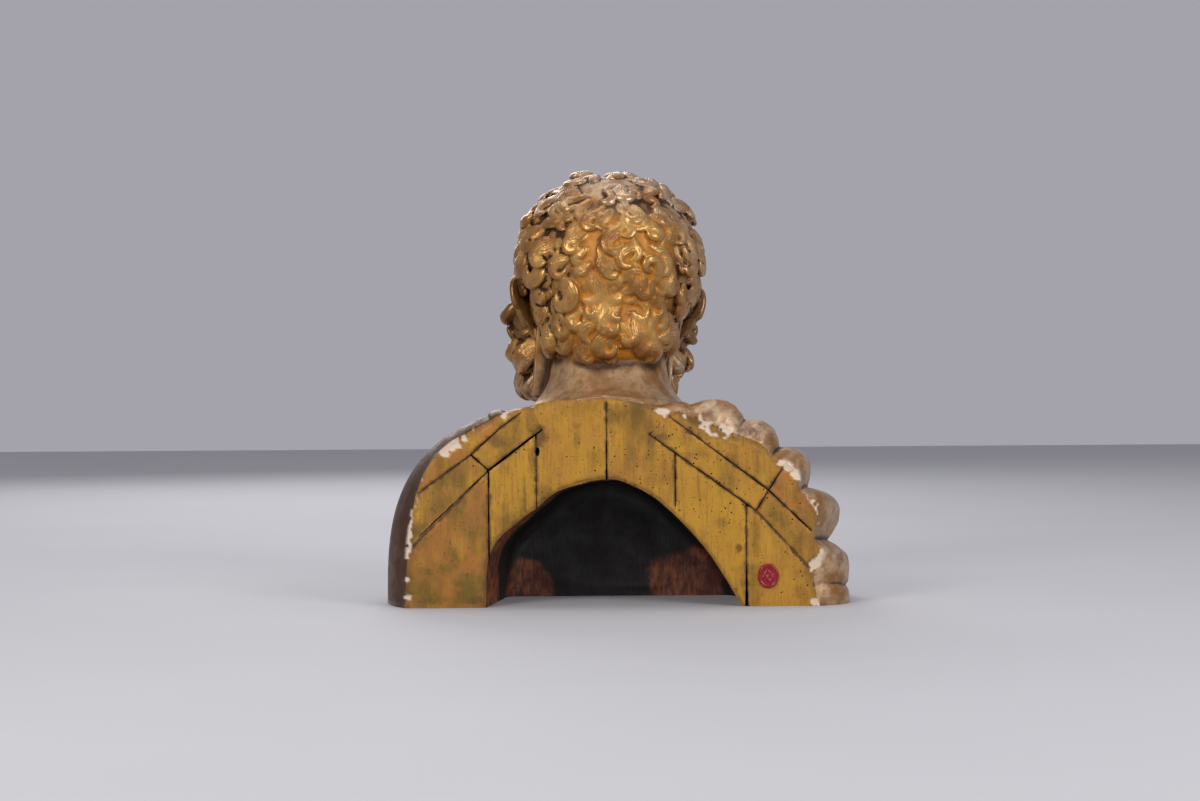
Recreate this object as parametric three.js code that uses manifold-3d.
// Carved and gilded wooden bust of a bearded man with curly hair, life size.
// The shoulders are a block glued up from boards that run from back to front, flat behind and
// hollowed by an arch from below. Head and neck are one solid that sits on the boards, and a
// wax seal sits on the back. Millimetres, +Z up. The bust faces -Y, so its right side is -X.

import * as THREE from 'three';
import { mergeVertices } from 'three/addons/utils/BufferGeometryUtils.js';
import Module from 'manifold-3d';

const wasm = await Module();
wasm.setup();

// Driving dimensions of the shoulders: x = 0 is the centre seam, y = 0 the flat back, z = 0 the foot
const LEFT_HALF_WIDTH = 231;
const RIGHT_HALF_WIDTH = 235;
const SHOULDER_RISE = 209;
const CHEST_FRONT = -215;
const WIDEST_DEPTH = -80;
const BACK_WIDTH_LOSS = 0.1;
const LEFT_ROUNDNESS = 3.0;
const RIGHT_ROUNDNESS = 2.5;
const TORSO_CENTRE = new THREE.Vector3(7, -95, 5);
const SEARCH_REACH = 340;
const BACK_STOCK = 25;

// The arched hollow, open below and behind
const HOLLOW_DEPTH = 128;
const HOLLOW_CORNER = 24;
const ARCH_POINTS = [
  [-139, -2], [-113, 41], [-94, 67], [-55, 107], [-25, 125],
  [1, 131], [43, 122], [72, 103], [119, 59], [125, -2],
];
const ARCH_STEPS = 30;

// Joints between boards and the play left between neighbouring solids
const GAP = 0.3;
const BOARD_REACH = 420;

// Head, in its own frame: origin in the middle of the skull, face to -Y
const HEAD_PLACE = new THREE.Vector3(-1, -135, 326);
const HEAD_TURN = THREE.MathUtils.degToRad(8);
const HEAD_TILT = THREE.MathUtils.degToRad(-4);
const NECK_RADIUS = 61;
const NECK_FOOT = new THREE.Vector3(-2, -95, 130);
const NECK_TOP = new THREE.Vector3(-1, -128, 290);

// Wax seal on the back of the right foot block
const SEAL_RADIUS = 10.2;
const SEAL_THICKNESS = 2.6;
const SEAL_PLACE = new THREE.Vector3(-164.4, GAP, 31);

// Geometry helpers
function toSolid(geometry) {
  const bare = geometry.index ? geometry.clone() : geometry;
  bare.deleteAttribute('normal');
  bare.deleteAttribute('uv');
  const merged = mergeVertices(bare, 1e-4);
  return new wasm.Manifold(new wasm.Mesh({
    numProp: 3,
    vertProperties: new Float32Array(merged.attributes.position.array),
    triVerts: new Uint32Array(merged.index.array),
  }));
}

function toGeometry(solid) {
  const mesh = solid.getMesh();
  const geometry = new THREE.BufferGeometry();
  geometry.setAttribute('position', new THREE.BufferAttribute(new Float32Array(mesh.vertProperties), 3));
  geometry.setIndex(new THREE.BufferAttribute(new Uint32Array(mesh.triVerts), 1));
  const flat = geometry.toNonIndexed();
  flat.computeVertexNormals();
  return flat;
}

// A cut can leave a crumb or a tiny pocket where two surfaces graze: the body itself is kept
function mainBody(solid) {
  const bodies = solid.decompose();
  return bodies.reduce((best, body) => (body.volume() > best.volume() ? body : best));
}

function placedBox(low, high) {
  const size = high.map((value, axis) => value - low[axis]);
  const box = new THREE.BoxGeometry(...size);
  box.translate(...low.map((value, axis) => value + size[axis] / 2));
  return toSolid(box);
}

function spread(from, to, steps) {
  return Array.from({ length: steps + 1 }, (_, i) => from + (to - from) * i / steps);
}

function direction(azimuth, elevation) {
  const level = Math.cos(elevation);
  return new THREE.Vector3(
    Math.sin(azimuth) * level, -Math.cos(azimuth) * level, Math.sin(elevation));
}

// A closed body given by how far it reaches from its centre in each direction
function radialBody(centre, azimuths, elevations, reach) {
  const positions = [];
  const addPoint = (way) => {
    positions.push(...centre.clone().addScaledVector(way, reach(way)).toArray());
  };
  addPoint(direction(0, -Math.PI / 2));
  for (const elevation of elevations) {
    for (const azimuth of azimuths) {
      addPoint(direction(azimuth, elevation));
    }
  }
  addPoint(direction(0, Math.PI / 2));
  const columns = azimuths.length;
  const rows = elevations.length;
  const at = (row, column) => 1 + row * columns + column % columns;
  const top = positions.length / 3 - 1;
  const apart = (i, j) => Math.hypot(
    positions[3 * i] - positions[3 * j], positions[3 * i + 1] - positions[3 * j + 1],
    positions[3 * i + 2] - positions[3 * j + 2]);
  const triangles = [];
  for (let column = 0; column < columns; column += 1) {
    triangles.push(0, at(0, column + 1), at(0, column));
    triangles.push(top, at(rows - 1, column), at(rows - 1, column + 1));
    for (let row = 0; row + 1 < rows; row += 1) {
      const a = at(row, column);
      const b = at(row, column + 1);
      const c = at(row + 1, column + 1);
      const d = at(row + 1, column);
      if (apart(a, c) < apart(b, d)) {
        triangles.push(a, b, c, a, c, d);
      } else {
        triangles.push(a, b, d, b, c, d);
      }
    }
  }
  const geometry = new THREE.BufferGeometry();
  geometry.setAttribute('position', new THREE.Float32BufferAttribute(positions, 3));
  geometry.setIndex(triangles);
  return toSolid(geometry);
}

// Shoulders before the folds are laid on: negative inside, zero on the surface
function shoulderField(point) {
  const side = point.x > 0 ? LEFT_HALF_WIDTH : RIGHT_HALF_WIDTH;
  const power = point.x > 0 ? LEFT_ROUNDNESS : RIGHT_ROUNDNESS;
  const ahead = (WIDEST_DEPTH - point.y) / (WIDEST_DEPTH - CHEST_FRONT);
  if (ahead >= 1) {
    return 1;
  }
  const widthShare = ahead > 0
    ? (1 - ahead ** 2.4) ** (1 / 2.4)
    : 1 - BACK_WIDTH_LOSS * ((point.y - WIDEST_DEPTH) / WIDEST_DEPTH) ** 2;
  const fall = Math.max(0, (-5 - point.y) / (-5 - CHEST_FRONT));
  const rise = SHOULDER_RISE * (1 - fall ** 2.2) ** (1 / 2.2);
  const across = Math.abs(point.x) / (side * widthShare);
  const up = Math.abs(point.z) / rise;
  return across ** power + up ** power - 1;
}

function shoulderReach(way) {
  let near = 0;
  let far = SEARCH_REACH;
  for (let step = 0; step < 26; step += 1) {
    const middle = (near + far) / 2;
    const point = TORSO_CENTRE.clone().addScaledVector(way, middle);
    if (shoulderField(point) < 0) {
      near = middle;
    } else {
      far = middle;
    }
  }
  return near;
}

function onShoulders(x, y, z) {
  const way = new THREE.Vector3(x, y, z).sub(TORSO_CENTRE).normalize();
  return TORSO_CENTRE.clone().addScaledVector(way, shoulderReach(way));
}

// Folds of the mantle: thick rolls over the right shoulder that sweep across the chest
const FOLDS = [
  { height: 7, width: 22, route: [[-76, -8, 198], [-72, -70, 190], [-48, -122, 172], [0, -168, 140],
    [76, -196, 98], [150, -180, 50], [196, -140, 0]] },
  { height: 21, width: 36, route: [[-112, -8, 192], [-114, -70, 192], [-92, -125, 165],
    [-42, -178, 125], [40, -208, 75], [112, -196, 20], [130, -190, -20]] },
  { height: 19, width: 30, route: [[-152, -8, 172], [-158, -75, 172], [-138, -135, 140],
    [-85, -185, 95], [-5, -213, 45], [45, -213, -10]] },
  { height: 20, width: 26, route: [[-188, -8, 142], [-198, -78, 142], [-178, -140, 110],
    [-125, -186, 68], [-55, -211, 22], [-30, -213, -15]] },
  { height: 22, width: 27, route: [[-212, -10, 100], [-226, -80, 92], [-208, -140, 72],
    [-165, -180, 38], [-115, -202, -10]] },
  { height: 21, width: 30, route: [[-216, -10, 40], [-234, -80, 30], [-222, -125, 22],
    [-196, -158, 0]] },
];
const FOLD_STEPS = 26;
const FOLD_BACK_FADE = 34;
const foldLines = FOLDS.map((fold) => {
  const route = fold.route.map((corner) => onShoulders(...corner));
  return { ...fold, points: new THREE.CatmullRomCurve3(route).getPoints(FOLD_STEPS) };
});

function roundShoulder(share) {
  const left = 1 - Math.min(1, Math.max(0, share));
  return Math.sqrt(1 - left * left);
}

function distanceToLine(point, points) {
  let nearest = Infinity;
  const span = new THREE.Vector3();
  const offset = new THREE.Vector3();
  for (let i = 0; i + 1 < points.length; i += 1) {
    span.subVectors(points[i + 1], points[i]);
    offset.subVectors(point, points[i]);
    const along = Math.min(1, Math.max(0, offset.dot(span) / span.lengthSq()));
    nearest = Math.min(nearest, offset.addScaledVector(span, -along).length());
  }
  return nearest;
}

function foldHeight(point) {
  let height = 0;
  for (const fold of foldLines) {
    const away = distanceToLine(point, fold.points) / fold.width;
    height = Math.max(height, fold.height * (1 - THREE.MathUtils.smoothstep(away, 0.1, 1)));
  }
  return height * roundShoulder(-point.y / FOLD_BACK_FADE);
}

// The tunic on the left shoulder: a rolled neck hem that runs round to under the mantle
const HEM = { height: 3.5, width: 8, points: new THREE.CatmullRomCurve3([
  [108, -6, 190], [104, -60, 182], [76, -118, 166], [34, -152, 146], [-16, -160, 142],
].map((corner) => onShoulders(...corner))).getPoints(16) };

function hemHeight(point) {
  return HEM.height * roundShoulder(1 - distanceToLine(point, HEM.points) / HEM.width);
}

function torsoReach(way) {
  const base = shoulderReach(way);
  const point = TORSO_CENTRE.clone().addScaledVector(way, base);
  const reach = base + Math.max(foldHeight(point), hemHeight(point));
  const toStock = (BACK_STOCK - TORSO_CENTRE.y) / Math.max(way.y, 1e-6);
  return Math.min(reach, toStock);
}

const FRONT_COLUMNS = spread(-2.05, 2.05, 52);
const REAR_COLUMNS = spread(2.05, 2 * Math.PI - 2.05, 5).slice(1, -1);
const SHOULDER_ROWS = [-0.3, ...spread(-0.02, 1.2, 20)];
const torsoColumns = [...FRONT_COLUMNS, ...REAR_COLUMNS];
const shoulders = radialBody(TORSO_CENTRE, torsoColumns, SHOULDER_ROWS, torsoReach);
const shouldersWithPlay = radialBody(
  TORSO_CENTRE, torsoColumns, SHOULDER_ROWS, (way) => torsoReach(way) + GAP);

// The hollow is a loft through three arches, narrower on the left as it goes in
function archOutline(leftShare, rightShare, riseShare) {
  const corners = ARCH_POINTS.map(([x, z]) => (
    new THREE.Vector3(x * (x > 0 ? leftShare : rightShare), 0, z * riseShare)));
  const arch = new THREE.CatmullRomCurve3(corners, false, 'catmullrom', 0.5).getPoints(ARCH_STEPS);
  const foot = -20;
  return [
    new THREE.Vector3(corners[0].x, 0, foot), ...arch,
    new THREE.Vector3(corners[corners.length - 1].x, 0, foot),
  ];
}

function hollowSolid() {
  const sections = [
    { y: 4, outline: archOutline(1, 1, 1) },
    { y: -HOLLOW_DEPTH + HOLLOW_CORNER, outline: archOutline(0.88, 0.99, 0.95) },
    { y: -HOLLOW_DEPTH, outline: archOutline(0.76, 0.88, 0.8) },
  ];
  const count = sections[0].outline.length;
  const positions = [];
  for (const { y, outline } of sections) {
    outline.forEach((point) => positions.push(point.x, y, point.z));
  }
  const backHub = positions.length / 3;
  positions.push(0, sections[0].y, 30);
  positions.push(0, sections[sections.length - 1].y, 30);
  const triangles = [];
  const last = (sections.length - 1) * count;
  for (let i = 0; i < count; i += 1) {
    const next = (i + 1) % count;
    triangles.push(backHub, i, next);
    triangles.push(backHub + 1, last + next, last + i);
    for (let ring = 0; ring < last; ring += count) {
      triangles.push(ring + i, ring + count + next, ring + next);
      triangles.push(ring + i, ring + count + i, ring + count + next);
    }
  }
  const geometry = new THREE.BufferGeometry();
  geometry.setAttribute('position', new THREE.Float32BufferAttribute(positions, 3));
  geometry.setIndex(triangles);
  return toSolid(geometry);
}

// The foot isn't quite flat: it is worn hollow under the left foot, behind the right and in front
function wedge(corners, from, to) {
  const shape = new THREE.Shape(corners.map(([x, z]) => new THREE.Vector2(x, z)));
  const solid = new THREE.ExtrudeGeometry(shape, { depth: from - to, bevelEnabled: false });
  solid.rotateX(Math.PI / 2);
  solid.translate(0, from, 0);
  return toSolid(solid);
}

const LEFT_FOOT_WEAR = { edge: 200, inner: 100, lift: 6, back: 5, front: -75 };
const FRONT_WEAR = { low: [-96, -240, -10], high: [32, -100, 3] };
const RIGHT_FOOT_WEAR = { low: [-262, -40, -10], high: [-120, 5, 1.8] };

function undersideWear() {
  const { edge, inner, lift, back, front } = LEFT_FOOT_WEAR;
  return wedge([[edge, 0], [edge, -10], [inner, -10], [inner, lift]], back, front)
    .add(placedBox(FRONT_WEAR.low, FRONT_WEAR.high))
    .add(placedBox(RIGHT_FOOT_WEAR.low, RIGHT_FOOT_WEAR.high));
}

const block = shoulders
  .intersect(placedBox([-400, -400, 0], [400, 0, 400]))
  .subtract(hollowSolid())
  .subtract(undersideWear());

// Board outlines in the plane of the back, as x and z. Slanted boards follow the shoulders.
const LEFT_SEAM_LOW = [[120.8, 140.5], [78.5, 172.7], [66, 181.5]];
const LEFT_SEAM_HIGH = [[138.7, 156.9], [108, 184.3], [88.2, 199], [76, 206]];
const LEFT_LOW_END = [295, -22];
const LEFT_HIGH_MIDDLE = [192.4, 118.2];
const LEFT_HIGH_END = [320, 26];
const LEFT_TOP = [84, 300];
const LEFT_STAVE = 72;
const LEFT_FOOT_STAVE = 120.8;
const RIGHT_STAVE = -70;
const RIGHT_FOOT_STAVE = -142.3;
const RIGHT_SEAM_LOW = [[-43.5, 176.6], [-70, 157.4], [-142.3, 105.1], [-152.4, 97.8]];
const RIGHT_SEAM_HIGH = [[-64.6, 194.4], [-165.2, 118.8]];
const RIGHT_CROSS_TOP = [[-180, 141.6], [-230, 218]];
const RIGHT_HIGH_END = [[-207.7, 77.9], [-310, -20]];
const RIGHT_LOW_END = [-264, -20];
const RIGHT_TOP = [-70, 300];
const FOOT = -20;

const BOARDS = {
  left_foot_block: [[LEFT_FOOT_STAVE, FOOT], LEFT_LOW_END, LEFT_SEAM_LOW[0]],
  left_outer_stave: [
    [LEFT_STAVE, FOOT], [LEFT_FOOT_STAVE, FOOT], LEFT_SEAM_LOW[0], LEFT_SEAM_LOW[1],
    [LEFT_STAVE, 177.3]],
  left_centre_stave: [
    [0, FOOT], [LEFT_STAVE, FOOT], [LEFT_STAVE, 177.3], LEFT_SEAM_LOW[2], LEFT_SEAM_HIGH[3],
    LEFT_TOP, [0, 300]],
  left_lower_slope_board: [
    LEFT_SEAM_LOW[0], LEFT_LOW_END, LEFT_HIGH_END, LEFT_HIGH_MIDDLE, LEFT_SEAM_HIGH[0]],
  left_upper_slope_board: [
    LEFT_SEAM_LOW[0], LEFT_SEAM_HIGH[0], LEFT_SEAM_HIGH[1], LEFT_SEAM_HIGH[2], LEFT_SEAM_HIGH[3],
    LEFT_SEAM_LOW[2], [LEFT_STAVE, 177.3], LEFT_SEAM_LOW[1]],
  left_shoulder_strip: [
    LEFT_SEAM_HIGH[0], LEFT_HIGH_MIDDLE, LEFT_HIGH_END, [320, 300], LEFT_TOP, LEFT_SEAM_HIGH[3],
    LEFT_SEAM_HIGH[2], LEFT_SEAM_HIGH[1]],
  right_centre_stave: [
    [0, FOOT], [0, 300], RIGHT_TOP, RIGHT_SEAM_HIGH[0], RIGHT_SEAM_LOW[0], RIGHT_SEAM_LOW[1],
    [RIGHT_STAVE, FOOT]],
  right_inner_stave: [
    [RIGHT_STAVE, FOOT], RIGHT_SEAM_LOW[1], RIGHT_SEAM_LOW[2], [RIGHT_FOOT_STAVE, FOOT]],
  right_foot_block: [
    [RIGHT_FOOT_STAVE, FOOT], RIGHT_SEAM_LOW[2], RIGHT_SEAM_LOW[3], RIGHT_LOW_END],
  right_corner_board: [
    RIGHT_SEAM_LOW[3], RIGHT_SEAM_HIGH[1], RIGHT_HIGH_END[0], RIGHT_HIGH_END[1], RIGHT_LOW_END],
  right_slope_board: [
    RIGHT_SEAM_LOW[0], RIGHT_SEAM_HIGH[0], RIGHT_SEAM_HIGH[1], RIGHT_SEAM_LOW[3],
    RIGHT_SEAM_LOW[2], RIGHT_SEAM_LOW[1]],
  right_shoulder_strip: [
    RIGHT_SEAM_HIGH[0], RIGHT_TOP, RIGHT_CROSS_TOP[1], RIGHT_CROSS_TOP[0], RIGHT_SEAM_HIGH[1]],
  right_edge_block: [
    RIGHT_SEAM_HIGH[1], RIGHT_CROSS_TOP[0], RIGHT_CROSS_TOP[1], [-400, 200], [-400, -110],
    RIGHT_HIGH_END[1], RIGHT_HIGH_END[0]],
};

// Moves each side of an outline inwards by the same distance
function insetOutline(outline, distance) {
  const corners = outline.map(([x, z]) => new THREE.Vector2(x, z));
  if (THREE.ShapeUtils.area(corners) < 0) {
    corners.reverse();
  }
  return corners.map((corner, i) => {
    const before = corners[(i + corners.length - 1) % corners.length];
    const after = corners[(i + 1) % corners.length];
    const arriving = corner.clone().sub(before).normalize();
    const leaving = after.clone().sub(corner).normalize();
    const inward = new THREE.Vector2(-arriving.y - leaving.y, arriving.x + leaving.x).normalize();
    const lean = inward.dot(new THREE.Vector2(-arriving.y, arriving.x));
    return corner.clone().addScaledVector(inward, distance / lean);
  });
}

function board(outline) {
  const shape = new THREE.Shape(insetOutline(outline, GAP / 2));
  const prism = new THREE.ExtrudeGeometry(shape, { depth: BOARD_REACH, bevelEnabled: false });
  prism.rotateX(Math.PI / 2);
  prism.translate(0, BACK_STOCK, 0);
  return mainBody(block.intersect(toSolid(prism)));
}

// Head forms as ellipsoids: centre and half sizes in the head's frame, hair and beard included
const SKULL_FORMS = [
  { centre: [0, 8, 32], half: [99, 99, 97] },
  { centre: [0, 30, -30], half: [74, 68, 77] },
  { centre: [0, -34, -30], half: [65, 63, 86] },
  { centre: [0, -54, 30], half: [58, 42, 44] },
];
const FACE_FORMS = [
  { centre: [0, -93, -16], half: [11, 17, 34] },
  { centre: [0, -101, -42], half: [15, 17, 14] },
  { centre: [0, -92, -62], half: [30, 13, 9] },
  { centre: [0, -86, -80], half: [17, 16, 7] },
];
const PAIRED_FORMS = [
  { centre: [11, -96, -47], half: [8, 11, 7] },
  { centre: [36, -58, -34], half: [27, 34, 24] },
  { centre: [27, -82, 15], half: [25, 14, 7] },
  { centre: [79, -24, -36], half: [26, 26, 26] },
  { centre: [76, -30, -70], half: [27, 28, 26] },
  { centre: [64, -40, -98], half: [27, 28, 22] },
  { centre: [30, -66, -112], half: [30, 30, 24] },
];
const CHIN_FORMS = [{ centre: [0, -62, -98], half: [52, 46, 40] }];
const mirrored = PAIRED_FORMS.map(({ centre: [x, y, z], half }) => ({ centre: [-x, y, z], half }));
const HEAD_FORMS = [...SKULL_FORMS, ...FACE_FORMS, ...CHIN_FORMS, ...PAIRED_FORMS, ...mirrored];
const BLEND = 7;

function ellipsoidReach(form, way) {
  const scaled = way.toArray().map((value, axis) => value / form.half[axis]);
  const start = form.centre.map((value, axis) => -value / form.half[axis]);
  const a = scaled.reduce((sum, value) => sum + value * value, 0);
  const b = scaled.reduce((sum, value, axis) => sum + value * start[axis], 0);
  const c = start.reduce((sum, value) => sum + value * value, 0) - 1;
  const under = b * b - a * c;
  return under <= 0 ? 0 : Math.max(0, (-b + Math.sqrt(under)) / a);
}

function smoothMax(a, b, blend) {
  const overlap = Math.max(0, blend - Math.abs(a - b)) / blend;
  return Math.max(a, b) + overlap * overlap * blend / 4;
}

// The bare part of the face is an oval between hair, ears and beard
const FACE_OVAL = { x: 60, z: 68, middle: 6 };

function faceShare(point) {
  const away = Math.hypot(point.x / FACE_OVAL.x, (point.z - FACE_OVAL.middle) / FACE_OVAL.z);
  return (1 - THREE.MathUtils.smoothstep(away, 0.85, 1.1))
    * THREE.MathUtils.smoothstep(-point.y, 30, 52);
}

function curlHeight(way) {
  const around = Math.atan2(way.x, -way.y);
  const up = Math.asin(way.z);
  const swirl = Math.sin(12 * around + 3 * Math.sin(7 * up));
  const rise = Math.sin(13 * up + 2.2 * Math.sin(6 * around + 1));
  return 4.5 * swirl * rise * Math.cos(up) ** 0.5;
}

// Eye sockets are pressed in beside the nose, with the eyeballs left standing in them
const EYE_PLACE = [31, -84, -3];

function eyeHeight(point) {
  const away = Math.hypot(
    Math.abs(point.x) - EYE_PLACE[0], (point.y - EYE_PLACE[1]) * 0.5, point.z - EYE_PLACE[2]);
  return -10 * Math.exp(-((away / 16) ** 2)) + 5 * Math.exp(-((away / 9) ** 2));
}

function headReach(way) {
  let reach = 0;
  for (const form of HEAD_FORMS) {
    reach = smoothMax(reach, ellipsoidReach(form, way), BLEND);
  }
  const point = way.clone().multiplyScalar(reach);
  const bare = faceShare(point);
  return reach + (1 - bare) * curlHeight(way) + bare * eyeHeight(point);
}

const FACE_COLUMNS = spread(-0.7, 0.7, 17);
const HAIR_COLUMNS = spread(0.7, 2 * Math.PI - 0.7, 33).slice(1, -1);
const HEAD_ROWS = [...spread(-1.25, -0.7, 5), ...spread(-0.7, 0.3, 16).slice(1),
  ...spread(0.3, 1.35, 10).slice(1)];

// Ears stand off the head behind, with a thick rim
const EAR = { centre: [95, 0, -20], half: [7, 19, 33], flare: 0.45 };

function ear(side) {
  const shape = new THREE.SphereGeometry(1, 12, 8);
  shape.scale(...EAR.half);
  shape.rotateZ(side * EAR.flare);
  shape.translate(side * EAR.centre[0], EAR.centre[1], EAR.centre[2]);
  return toSolid(shape);
}

function neck() {
  const rise = NECK_TOP.distanceTo(NECK_FOOT);
  const profile = [
    [0, 0], [NECK_RADIUS + 6, 0], [NECK_RADIUS + 4, rise * 0.42], [NECK_RADIUS, rise * 0.6],
    [NECK_RADIUS - 2, rise * 0.8], [NECK_RADIUS - 3, rise], [0, rise],
  ].map(([radius, height]) => new THREE.Vector2(radius, height));
  const column = new THREE.LatheGeometry(profile, 36);
  const lean = new THREE.Quaternion().setFromUnitVectors(
    new THREE.Vector3(0, 1, 0), NECK_TOP.clone().sub(NECK_FOOT).normalize());
  column.applyQuaternion(lean);
  column.translate(...NECK_FOOT.toArray());
  return toSolid(column);
}

function headSolid() {
  const headFrame = new THREE.Matrix4()
    .makeRotationFromEuler(new THREE.Euler(0, HEAD_TILT, HEAD_TURN, 'ZYX'))
    .setPosition(HEAD_PLACE);
  const carved = radialBody(
    new THREE.Vector3(), [...FACE_COLUMNS, ...HAIR_COLUMNS], HEAD_ROWS, headReach);
  return mainBody(carved
    .add(ear(1))
    .add(ear(-1))
    .transform(headFrame.toArray())
    .add(neck())
    .subtract(shouldersWithPlay));
}

function sealGeometry() {
  const profile = [
    [0, 0], [SEAL_RADIUS - 0.6, 0], [SEAL_RADIUS, 0.9], [SEAL_RADIUS - 0.7, SEAL_THICKNESS],
    [SEAL_RADIUS - 2.4, SEAL_THICKNESS - 0.6], [SEAL_RADIUS - 4, SEAL_THICKNESS - 0.2],
    [0, SEAL_THICKNESS],
  ].map(([radius, height]) => new THREE.Vector2(radius, height));
  return toGeometry(toSolid(new THREE.LatheGeometry(profile, 24)));
}

// Finishes
const ochreBoards = new THREE.MeshStandardMaterial({ color: 0xa5802c, roughness: 0.6, metalness: 0.1 });
const wornGilding = new THREE.MeshStandardMaterial({ color: 0x9a7440, roughness: 0.45, metalness: 0.4 });
const redWax = new THREE.MeshStandardMaterial({ color: 0x8e1522, roughness: 0.4, metalness: 0 });

function named(name, geometry, material) {
  const mesh = new THREE.Mesh(geometry, material);
  mesh.name = name;
  return mesh;
}

const pieces = new THREE.Group();
for (const [name, outline] of Object.entries(BOARDS)) {
  pieces.add(named(name, toGeometry(board(outline)), ochreBoards));
}
pieces.add(named('head', toGeometry(headSolid()), wornGilding));
const seal = named('wax_seal', sealGeometry(), redWax);
seal.position.copy(SEAL_PLACE);
pieces.add(seal);

// The origin is under the middle of the whole, on the surface that it stands on
const extent = new THREE.Box3().setFromObject(pieces);
const middle = extent.getCenter(new THREE.Vector3());
pieces.position.set(-middle.x, -middle.y, -extent.min.z);
const bust = new THREE.Group();
bust.add(pieces);

export default bust;
